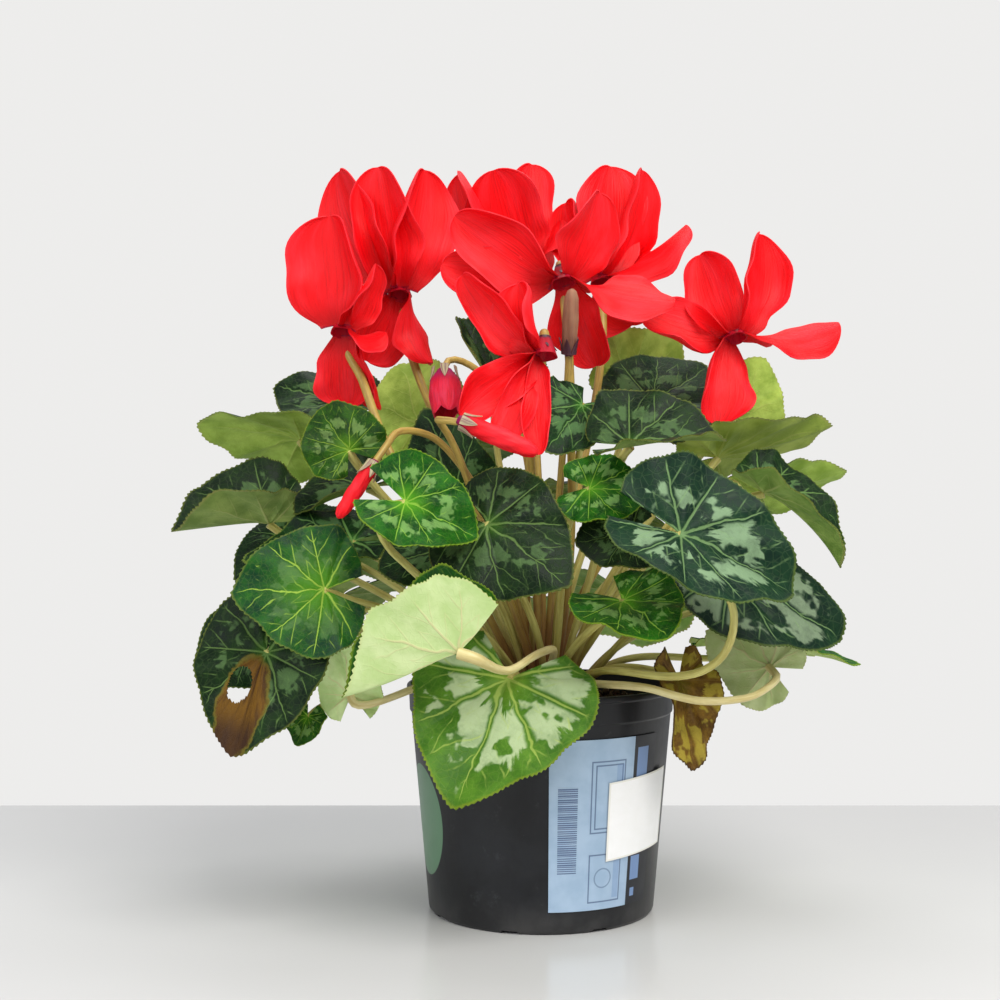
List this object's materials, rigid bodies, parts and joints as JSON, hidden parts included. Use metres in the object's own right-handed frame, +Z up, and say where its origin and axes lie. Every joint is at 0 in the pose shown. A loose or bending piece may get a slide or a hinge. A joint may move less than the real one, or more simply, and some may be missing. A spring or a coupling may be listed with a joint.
{
  "type": "potted cyclamen",
  "caption": "Flowering house plant in a tapered black nursery pot: a crown of rounded silver-marked leaves on long stalks, with red swept-back flowers above them.",
  "frame": {"origin": "middle of the pot's flat base, at the height of the surface it stands on", "axes": "+Z up along the pot's axis; -Y is the front, with the bare sticker to the right of it; +X is to the right when the front is faced"},
  "size_m": [0.2788, 0.2141, 0.3082],
  "materials": {
    "pot": "satin",
    "soil": "matte",
    "tuber": "matte",
    "print_panel": "satin",
    "price_sticker": "satin",
    "leaf_dark": "satin",
    "leaf_silver": "satin",
    "leaf_fresh": "satin",
    "leaf_olive": "satin",
    "leaf_pale": "satin",
    "leaf_brown": "matte",
    "petal": "matte",
    "bud_red": "matte",
    "bud_magenta": "matte",
    "bud_faded": "matte"
  },
  "bodies": {
    "root": {"bud_left": "bud_red", "bud_middle": "bud_red", "bud_opening": "bud_magenta", "bud_upright": "bud_faded", "flower_back": "petal", "flower_back_right": "petal", "flower_far_left": "petal", "flower_left": "petal", "flower_low": "petal", "flower_right": "petal", "flower_star": "petal", "leaf_apron": "leaf_fresh", "leaf_back_1": "leaf_dark", "leaf_back_2": "leaf_silver", "leaf_back_3": "leaf_dark", "leaf_back_4": "leaf_dark", "leaf_back_5": "leaf_silver", "leaf_back_6": "leaf_dark", "leaf_back_7": "leaf_dark", "leaf_back_8": "leaf_dark", "leaf_back_right": "leaf_olive", "leaf_big_right": "leaf_silver", "leaf_bright_left": "leaf_fresh", "leaf_bright_low": "leaf_fresh", "leaf_centre": "leaf_dark", "leaf_curled_right": "leaf_dark", "leaf_dark_right": "leaf_dark", "leaf_dusk_right": "leaf_dark", "leaf_flipped": "leaf_pale", "leaf_fold_left": "leaf_dark", "leaf_grey_right": "leaf_olive", "leaf_heart": "leaf_fresh", "leaf_left_wing": "leaf_dark", "leaf_low_right": "leaf_dark", "leaf_mid_left": "leaf_dark", "leaf_olive_centre": "leaf_olive", "leaf_olive_crest": "leaf_olive", "leaf_olive_left": "leaf_olive", "leaf_olive_right": "leaf_olive", "leaf_pale_edge": "leaf_olive", "leaf_pale_right": "leaf_pale", "leaf_rim_right": "leaf_fresh", "leaf_rolled": "leaf_dark", "leaf_round_left": "leaf_dark", "leaf_scorched": "leaf_dark", "leaf_shade_left": "leaf_dark", "leaf_silver_left": "leaf_dark", "leaf_slate": "leaf_dark", "leaf_tiny": "leaf_fresh", "leaf_tip_left": "leaf_dark", "leaf_top_mid": "leaf_dark", "leaf_top_right": "leaf_dark", "leaf_tucked": "leaf_pale", "leaf_under_right": "leaf_fresh", "leaf_withered": "leaf_brown", "pot": "pot", "price_sticker": "price_sticker", "print_panel": "print_panel", "soil": "soil", "tuber": "tuber"}
  },
  "joints": []
}
